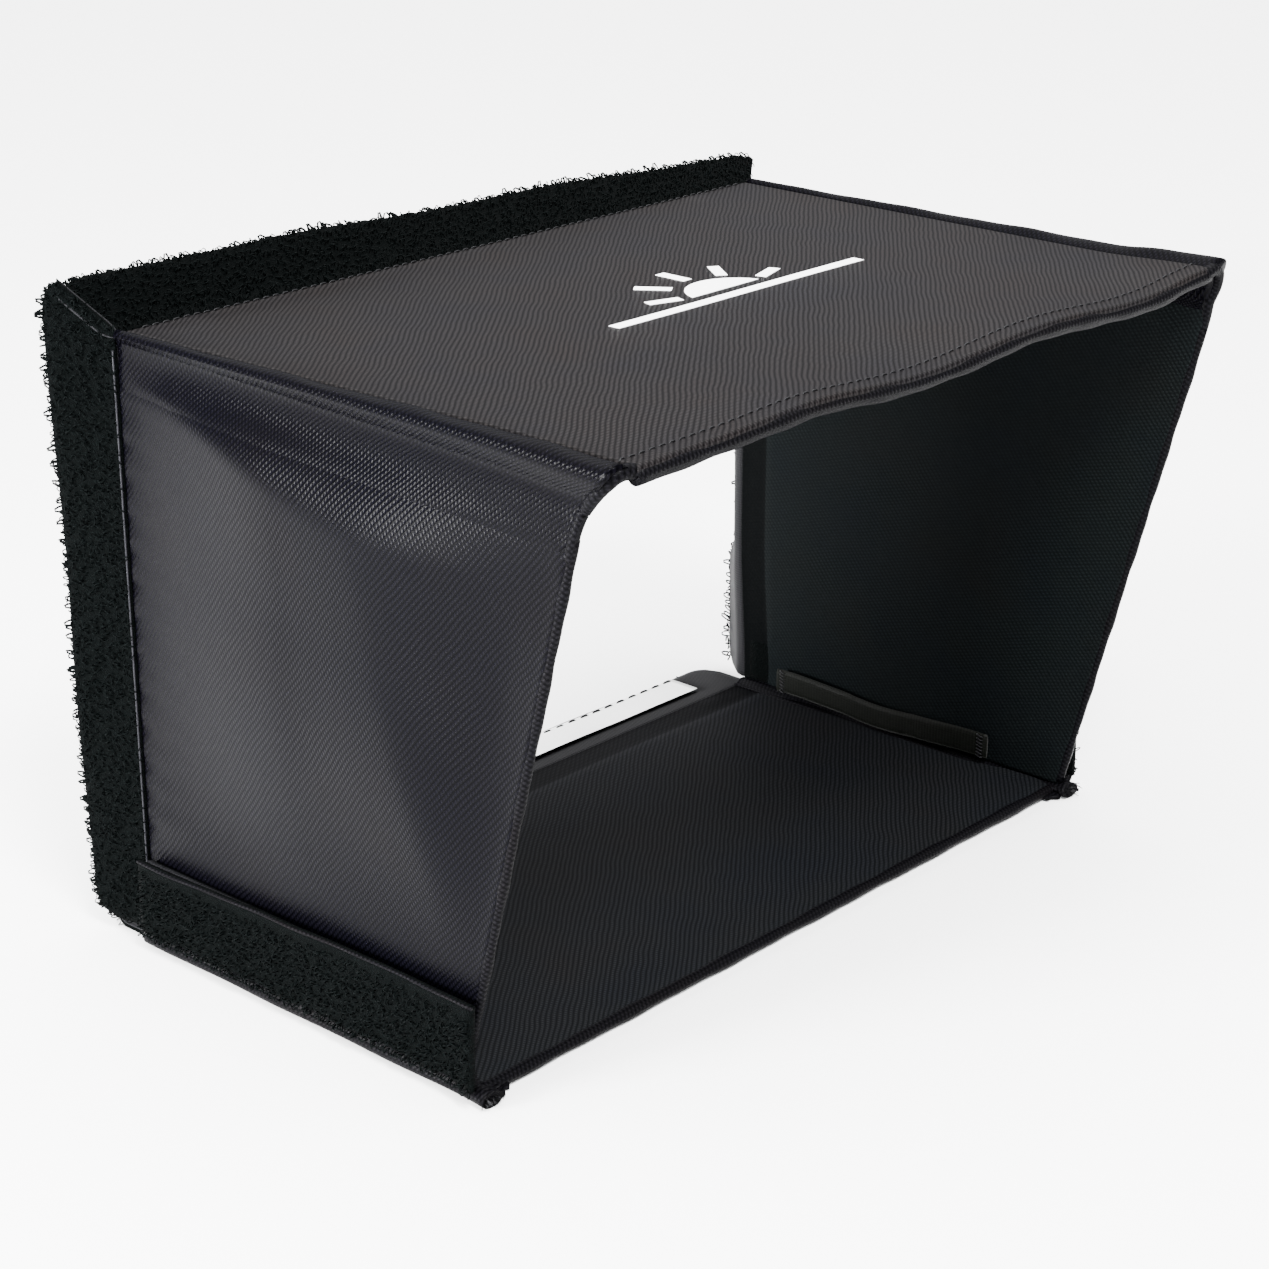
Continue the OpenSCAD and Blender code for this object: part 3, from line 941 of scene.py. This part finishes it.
for side in ("top", "left", "right"):
    flange_loops(side)
    flange, body = flanges[side]
    add_loops(side + "_flange_rim_loops", body, rim_spots(flange, 0, 1, 2.0 * MM),
              height=2.6 * MM, width=1.7 * MM, radius=0.3 * MM, turned=0.6)
bare_end = 1 - high("release_liner").x / HALF_WIDTH  # share of half the bottom flange that the liner leaves bare
add_loops("bottom_flange_loops", "base",
          rim_spots(flanges["bottom"][0], 0, bare_end / 2) + rim_spots(flanges["bottom"][0], 1 - bare_end / 2, 1))
for name in ("bottom_flange_tape", "bottom_flange_loops"):
    for vertex in bpy.data.objects[name].data.vertices:  # pressed flat where the hood stands on it
        vertex.co.z = max(vertex.co.z, 0.0)


# ---------------------------------------------------------------- side wings

def wing(side, sign):
    """Loop-faced band with loops round its lower edge and a selvedge along its upper one."""
    band_low, band_high = box("left_wing_band")
    x_in, x_out = -band_high.x, -band_low.x
    length, height = band_high.y - band_low.y, band_high.z - band_low.z

    def spot(back, up):
        out = wing_wave(back, up, length)
        soft = 0.4 * MM * (1 - float(smooth(min(back, length - back, up, height - up) / (1 * MM))))
        y, z = band_high.y - back, band_low.z + up * wing_height(back, length)
        return ((sign * (x_out - 0.7 * MM + out - soft), y, z), (sign * (x_in + out * 0.5 + soft * 0.3), y, z),
                (back, up))

    cells, cells_up = 60, 16
    rows = [[spot(length * i / cells, height * j / cells_up) for j in range(cells_up + 1)] for i in range(cells + 1)]
    band = slab_of_rows(side + "_wing_tape", rows, turned=sign > 0)
    dress(band, side + "_wing", PILE_GROUND, "loop_tape", side + "_wing_band")

    def face(back, up):
        x = sign * (x_out - 0.8 * MM + wing_wave(back, up, length))
        up *= wing_height(back, length)
        return Vector((x, band_high.y - back, band_low.z + up)), Vector((sign, 0, 0)), -REAR

    spots = scatter(face, length, height - 3.2 * MM, 1.9 * MM)
    pitch = 1.3  # of the loops round the lower edge, in millimetres
    for k in range(round(length / (pitch * MM))):
        back = (k + dice.uniform(0.1, 0.9)) * pitch * MM
        point, outward, along = face(min(back, length), 0.4 * MM)
        down = (outward * dice.uniform(0.3, 1.0) + Vector((0, 0, -1)) * dice.uniform(0.4, 0.9)).normalized()
        spots.append((point, down, along))
    add_loops(side + "_wing_loops", side + "_wing", spots, height=1.7 * MM)

    edge_path = []
    for k in range(50):
        back = length * k / 49
        out = wing_wave(back, height, length)
        top = height * wing_height(back, length) - 0.5 * MM
        edge_path.append((sign * (x_out - 1.1 * MM + out), band_high.y - back, band_low.z + top))
    selvedge = tube_mesh(side + "_wing_selvedge", [edge_path], 0.5 * MM, sides=8)
    dress(selvedge, side + "_wing", COVER_HEM_SHADED, "cover_cloth")


def wing_height(back, length):
    """The band is a little lower towards the rear."""
    return 0.91 + 0.09 * float(smooth(back / length * 1.4))


def wing_wave(back, up, length):
    """How far the band stands off at a place: slightly wavy, with its front end curled out."""
    share = back / length
    wavy = 0.25 * math.sin(share * 15) * (up / (25 * MM)) + 0.15 * math.sin(share * 31 + up / MM * 0.2)
    curl = 1.6 * float(smooth((share - 0.93) / 0.07)) * (1 - up / (40 * MM))
    return (wavy + curl) * MM


def fold_roll(side, sign, tuck):
    """Cloth rolled under the wing: a flattened roll with a frayed front end, pressed in by tuck."""
    roll_low, roll_high = box("left_fold_roll")
    length = roll_high.y - roll_low.y
    centre_x = sign * (-roll_low.x - 2.8 * MM - tuck)
    rows, sides = 60, 22
    points, faces, flat = [], [], []
    for i in range(rows + 1):
        share = i / rows
        y = roll_high.y - length * share
        swell = 1 + 0.12 * math.sin(share * 19) + 0.25 * float(smooth((share - 0.9) / 0.1))
        wide, tall = 3.1 * MM * swell, 2.15 * MM * min(swell, 1.1)
        for k in range(sides):
            turn = math.tau * k / sides
            crease = 1 - 0.16 * math.exp(-((turn - 2.2) / 0.3) ** 2)
            x = centre_x + sign * wide * math.cos(turn) * crease
            z = max(tall * (1 + math.sin(turn) * crease), 0.05 * MM)
            points.append((x, y, z))
            flat.append((length * share, turn * 2.6 * MM))
    for i in range(rows):
        for k in range(sides):
            a, b = i * sides + k, i * sides + (k + 1) % sides
            face = (a, b, b + sides, a + sides)
            faces.append(face if sign > 0 else face[::-1])
    centre = len(points)
    for end, first in ((roll_high.y, 0), (roll_low.y + 1.6 * MM, rows * sides)):
        points.append((centre_x, end, 2.1 * MM))
        flat.append((0, 0))
        for k in range(sides):
            face = (centre, first + k, first + (k + 1) % sides)
            keep = (first == 0) == (sign > 0)
            faces.append(face[::-1] if keep else face)
        centre += 1
    roll = add_mesh(side + "_roll_cloth", points, faces, flat)
    dress(roll, "base", COVER_HEM_SHADED, "cover_cloth", side + "_fold_roll")

    frays = []
    for _ in range(16):
        aside, up = sign * dice.uniform(-2, 3) * MM, dice.uniform(1, 3.4) * MM
        start = Vector((centre_x + aside, roll_low.y + 1 * MM, up))
        run = Vector((sign * dice.uniform(-0.5, 1.5), dice.uniform(-3.6, -1.2), dice.uniform(-0.5, 1))) * MM
        tip = start + run
        tip.z = max(tip.z, 0.3 * MM)
        frays.append([start, start.lerp(tip, 0.5) + Vector((0, 0, 0.3 * MM)), tip])
    fray = tube_mesh(side + "_roll_fray", frays, 0.12 * MM, sides=4)
    dress(fray, "base", THREAD, "thread")


def foot_strip(side, sign):
    """Loop strip on the foot of a side panel, seen when the wing is peeled away."""
    strip_low, strip_high = box("left_foot_loop_strip")
    length, height = strip_high.y - strip_low.y, strip_high.z - strip_low.z
    x_face = -strip_low.x - 0.5 * MM
    rows = [[((sign * x_face, y, z), (sign * HALF_WIDTH, y, z), (strip_high.y - y, z))
             for z in np.linspace(strip_low.z, strip_high.z, 10)]
            for y in np.linspace(strip_high.y, strip_low.y, 40)]
    piece = slab_of_rows(side + "_foot_tape", rows, turned=sign > 0)
    dress(piece, side + "_side", PILE_GROUND, "loop_tape", side + "_foot_loop_strip")

    def face(back, up):
        return (Vector((sign * (x_face - 0.3 * MM), strip_high.y - back, strip_low.z + up)),
                Vector((sign, 0, 0)), -REAR)

    spots = scatter(face, length, height, 2.2 * MM)
    add_loops(side + "_foot_loops", side + "_side", spots, height=0.85 * MM, width=1.3 * MM)


def wing_hinge(side, sign):
    """Cloth that joins the bottom panel's edge to the foot of a wing."""
    band_low, band_high = box("left_wing_band")
    foot_x = -(band_low.x + band_high.x) / 2
    foot_z = band_low.z
    outline = [(HALF_WIDTH - 5 * MM, 3.0 * MM), (HALF_WIDTH - 1 * MM, 3.4 * MM),
               (foot_x - 2.2 * MM, foot_z - 1.2 * MM), (foot_x - 0.6 * MM, foot_z - 0.4 * MM),
               (foot_x, foot_z + 1.5 * MM)]
    line = spline(outline, 14)
    rows = [[((sign * x, y, z), (sign * (x + 0.25 * MM), y, z - 0.6 * MM), (band_high.y - y, k * MM))
             for k, (x, z) in enumerate(line)]
            for y in np.linspace(band_high.y, band_low.y, 50)]
    piece = slab_of_rows(side + "_wing_hinge_cloth", rows, turned=sign < 0)
    dress(piece, None, COVER_HEM_SHADED, "cover_cloth")
    side + "_wing"
    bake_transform(piece)


def corner_tab(side, sign):
    """Torn corner of the bottom cloth that sticks out in front of a fold roll."""
    rows = []
    for i in range(15):
        across = i / 14
        x = sign * (HALF_WIDTH + (3.5 - 13 * across) * MM)
        ragged = (4.6 + 1.3 * math.sin(across * 21) + 0.9 * math.sin(across * 47 + 1)) * (1 - 0.75 * across ** 2)
        row = []
        for j in range(7):
            y = FOOT_FRONT_Y + (2 - (2 + ragged) * j / 6) * MM
            top, under = ((x, y, (z + 0.5 * math.sin(across * 6) - 0.1 * j) * MM) for z in (2.3, 1.3))
            row.append((top, under, (j * MM, across * 13 * MM)))
        rows.append(row)
    piece = slab_of_rows(side + "_corner_tab", rows, turned=sign < 0)
    dress(piece, "base", COVER_HEM_SHADED, "cover_cloth")


for side, sign, tuck in (("left", -1, 1.8 * MM), ("right", 1, 3.2 * MM)):
    wing(side, sign)
    fold_roll(side, sign, tuck)
    wing_hinge(side, sign)
    foot_strip(side, sign)
    corner_tab(side, sign)


# ---------------------------------------------------------------- hems, piping and stitching

def hem(name, body, path, radius):
    """Turned hem along an open edge: a slightly uneven roll of cloth."""
    def uneven(run):
        return radius * (1 + 0.08 * math.sin(run * 37) + 0.06 * math.sin(run * 83 + 2))
    return dress(tube_mesh(name, [path], uneven, sides=12), body, COVER_HEM_SHADED, "cover_cloth")


hem("top_front_hem", "canopy", [settle(np.array((x, TOP_FRONT_Y + 1.6 * MM, TOP_Z - 3.0 * MM)))
                                for x in np.linspace(-HALF_WIDTH + 9 * MM, HALF_WIDTH - 9 * MM, 90)], 2.3 * MM)
hem("bottom_front_hem", "base", [(x, FOOT_FRONT_Y + 1.0 * MM, 1.9 * MM)
                                 for x in np.linspace(-HALF_WIDTH + 1 * MM, HALF_WIDTH - 1 * MM, 90)], 1.8 * MM)
for side, sign, set_back in (("left", -1, LEFT_SET_BACK), ("right", 1, 0.0)):
    head_z = TOP_Z - corner_reach(TOP_FRONT_Y)[1] - 7 * MM
    hem(side + "_side_hem", side + "_side",
        [settle(np.array((sign * (HALF_WIDTH - HALF_T), front_y(z) + set_back + 0.6 * MM, z)))
         for z in np.linspace(FOOT_Z + 1 * MM, head_z, 70)], 1.45 * MM)
    seam = [settle(np.array((sign * (HALF_WIDTH + 0.35 * MM), SEAM_Y + 0.3 * MM, z)))
            for z in np.linspace(FOOT_Z + 1 * MM, TOP_Z - 5 * MM, 60)]
    piping = tube_mesh(side + "_seam_piping", [seam], 0.3 * MM, sides=8)
    dress(piping, side + "_side", PIPING, "cover_cloth")


def along_top(y, lift):
    def place(share):
        x = (share - 0.5) * 2 * (HALF_WIDTH - 8 * MM)
        return top_surface(x, y) + Vector((0, 0, lift))
    return place


def top_surface(x, y):
    """Point on the crowned outer face of the top panel."""
    s = np.array((SEAM_Y - y) / (SEAM_Y - TOP_FRONT_Y))
    t = np.array((x / (HALF_WIDTH - corner_reach(y)[0]) + 1) / 2)
    return Vector(TOP.at(s, t, stand_off(TOP, top_crown, s, t)[0]))


add_stitches("top_seam_stitches", "canopy", [
    (along_top(SEAM_Y - 1.6 * MM, 0.05 * MM), 2 * HALF_WIDTH - 16 * MM, (0, 0, 1)),
    (along_top(TOP_FRONT_Y + 6.5 * MM, 0.0), 2 * HALF_WIDTH - 16 * MM, (0, 0, 1)),
])


# ---------------------------------------------------------------- printed symbol, strap and liner

def conform_symbol():
    """The printed symbol, cut finely enough to lie on the crowned cover."""
    cut = bmesh.new()
    cut.from_mesh(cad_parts["printed_symbol"].data)
    box_low, box_high = box("printed_symbol")
    step = 3 * MM
    for axis in (0, 1):
        place = box_low[axis] + step
        while place < box_high[axis]:
            centre, normal = Vector((0, 0, 0)), Vector((0, 0, 0))
            centre[axis], normal[axis] = place, 1
            everything = cut.verts[:] + cut.edges[:] + cut.faces[:]
            bmesh.ops.bisect_plane(cut, geom=everything, plane_co=centre, plane_no=normal)
            place += step
    middle = (box_low.z + box_high.z) / 2
    for vertex in cut.verts:
        lift = 0.12 * MM if vertex.co.z > middle else -0.15 * MM
        vertex.co = top_surface(vertex.co.x, vertex.co.y) + Vector((0, 0, lift))
    mesh = bpy.data.meshes.new("printed_half_sun")
    layer = cut.loops.layers.uv.new("weave")
    for face in cut.faces:
        for loop in face.loops:
            loop[layer].uv = (loop.vert.co.x, loop.vert.co.y)
    cut.to_mesh(mesh)
    cut.free()
    piece = bpy.data.objects.new("printed_half_sun", mesh)
    bpy.context.scene.collection.objects.link(piece)
    dress(piece, "canopy", PRINT, "white_print", "printed_symbol")


def ribbon(name, body, centre_line, across, outward, width, thickness, material, slot, *nodes):
    """Flat webbing along a line of points, with rounded edges."""
    across, outward = Vector(across), Vector(outward)
    points = [Vector(point) for point in centre_line]
    rows, run = [], 0.0
    for before, point in zip(points[:1] + points, points):
        run += (point - before).length
        row = []
        for share in np.linspace(0.5, -0.5, 9).tolist():
            bulge = outward * (math.sqrt(max(1 - (2 * share) ** 6, 0)) * thickness / 2)
            row.append((point + across * share * width + bulge, point + across * share * width - bulge,
                        (run, share * width)))
        rows.append(row)
    return dress(slab_of_rows(name, rows, turned=False), body, material, slot, *nodes)


STRAP_DROP = 2.5 * MM  # how far below the CAD's strap the photo shows it


def inside_strap():
    strap_low, strap_high = box("inside_strap")
    width = strap_high.z - strap_low.z
    line = []
    for k in range(60):
        share = k / 59
        free = math.sin(math.pi * share)
        stand = 0.9 * MM + (0.8 * abs(math.sin(share * 9.5)) + 0.5) * MM * free
        height = strap_low.z + width / 2 - STRAP_DROP + 0.7 * MM * math.sin(share * 8 + 0.5)
        line.append((strap_high.x - stand - 1.0 * MM, strap_high.y + (strap_low.y - strap_high.y) * share, height))
    ribbon("inside_strap_web", "right_side", line, (0, 0, 1), (-1, 0, 0), width, 1.1 * MM, STRAP,
           "elastic_strap", "inside_strap")
    tacks = []
    for end in (0.03, 0.97):
        y = strap_high.y + (strap_low.y - strap_high.y) * end
        for k in range(7):
            z = strap_low.z - STRAP_DROP + width * (k + 0.5) / 7
            x = strap_high.x - 2.7 * MM
            tacks.append([(x + inward * MM, y + along * MM, z + up * MM)
                          for inward, along, up in ((0.5, -1.3, 0), (0, -0.6, 0), (0, 0.6, 0.5), (0.5, 1.3, 0.5))])
    piece = tube_mesh("strap_tack_threads", tacks, 0.28 * MM, sides=5)
    dress(piece, "right_side", THREAD, "thread", "strap_bar_tacks")


def hook_strip():
    """Hook tape sewn along the bottom flange, under the liner: a base with rows of tiny bent hooks."""
    strip_low, strip_high = box("mount_hook_strip")
    base_z = TAPE_T + BACKING_T
    line = [(x, (strip_low.y + strip_high.y) / 2, base_z + 0.2 * MM)
            for x in np.linspace(strip_low.x, strip_high.x, 60)]
    ribbon("hook_strip_base", "base", line, (0, 1, 0), (0, 0, 1), strip_high.y - strip_low.y, 0.5 * MM, HOOKS,
           "hook_tape", "mount_hook_strip")
    hooks = []
    for x in np.arange(strip_low.x + 1 * MM, strip_high.x, 2.2 * MM):
        for y in np.arange(strip_low.y + 0.8 * MM, strip_high.y, 1.7 * MM):
            hooks.append([(x + ahead * MM, y, base_z + up * MM)
                          for ahead, up in ((0, 0.3), (0, 0.7), (0.3, 0.95), (0.6, 0.75))])
    dress(tube_mesh("hook_strip_hooks", hooks, 0.12 * MM, sides=4), "base", HOOKS, "hook_tape")
    return base_z + 1.0 * MM


def liner(rest_z):
    """White release paper over the hooks, stitched down along its rear edge."""
    paper_low, paper_high = box("release_liner")
    line = [(x, (paper_low.y + paper_high.y) / 2,
             rest_z + (0.25 + 0.12 * math.sin(x / MM / 21) + 0.06 * math.sin(x / MM / 7)) * MM)
            for x in np.linspace(paper_low.x, paper_high.x, 110)]
    piece = ribbon("release_paper", "base", line, (0, 1, 0), (0, 0, 1), paper_high.y - paper_low.y, 0.22 * MM,
                   PAPER, "liner_paper", "release_liner")

    def edge(share):
        x = paper_low.x + (paper_high.x - paper_low.x) * share
        return x, paper_high.y - 1.1 * MM, rest_z + 0.3 * MM

    add_stitches("liner_stitches", "base", [(edge, paper_high.x - paper_low.x, (0, 0, 1))],
                 stitch=3.6 * MM, gap=2.4 * MM, radius=0.35 * MM)


conform_symbol()
inside_strap()
liner(hook_strip())

for node in ("left_wing_hook_tape", "right_wing_hook_tape"):  # CAD nodes that keep their own shape
    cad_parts[node].data.materials.clear()
    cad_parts[node].data.materials.append(HOOKS)


# ---------------------------------------------------------------- floor, light and camera

HOOD_MIDDLE = Vector((0, 0, 0.09))


def aim(thing, ahead):
    """Points a lamp or a camera ahead and puts it into the scene."""
    thing.rotation_mode = "QUATERNION"
    thing.rotation_quaternion = ahead.to_track_quat("-Z", "Y")
    bpy.context.scene.collection.objects.link(thing)


def add_area_light(name, place, width, height, power):
    data = bpy.data.lights.new(name, "AREA")
    data.shape = "RECTANGLE"
    data.size, data.size_y = width, height
    data.energy = power
    lamp = bpy.data.objects.new(name, data)
    lamp.location = place
    aim(lamp, HOOD_MIDDLE - Vector(place))


def stage():
    corners = [(-6, -6), (6, -6), (6, 6), (-6, 6)]
    floor = add_mesh("floor", [(x, y, -0.2 * MM) for x, y in corners], [(0, 1, 2, 3)])
    paint = Surface("pale_floor", 0.9)
    paint.feed(paint.inputs["Base Color"], (0.92, 0.92, 0.92))
    floor.data.materials.append(paint.material)
    world = bpy.data.worlds.new("studio")
    world.use_nodes = True
    sky = Nodes(world.node_tree)
    height = sky.parts(sky.place("Generated"))[2]
    background = sky.tree.nodes["Background"].inputs
    sky.feed(background["Color"], sky.ramp(
        height, (0.0, (0.05, 0.05, 0.055)), (0.4, (0.08, 0.08, 0.085)), (0.6, (0.6, 0.6, 0.6)), (1.0, (1, 1, 1))))
    sky.feed(background["Strength"], 9.5)
    bpy.context.scene.world = world
    for name, place, width, height, power in (("key", (-0.48, -0.8, 1.3), 0.4, 0.4, 85),
                                              ("window", (-1.45, 0.42, 0.4), 0.5, 0.3, 150),
                                              ("low", (-1.5, 0.08, 0.14), 0.6, 0.16, 80)):
        add_area_light(name, place, width, height, power)


def add_camera():
    """Camera at the photograph's viewing angle."""
    data = bpy.data.cameras.new("camera")
    data.lens, data.sensor_width = 80.8, 36
    data.clip_start, data.clip_end = 0.05, 20
    camera = bpy.data.objects.new("camera", data)
    camera.location = (-0.594, -0.526, 0.3835)
    azimuth, elevation = math.radians(-47.78), math.radians(20.96)
    ahead = Vector((-math.sin(azimuth) * math.cos(elevation), math.cos(azimuth) * math.cos(elevation),
                    -math.sin(elevation)))
    aim(camera, ahead)
    bpy.context.scene.camera = camera


stage()
add_camera()
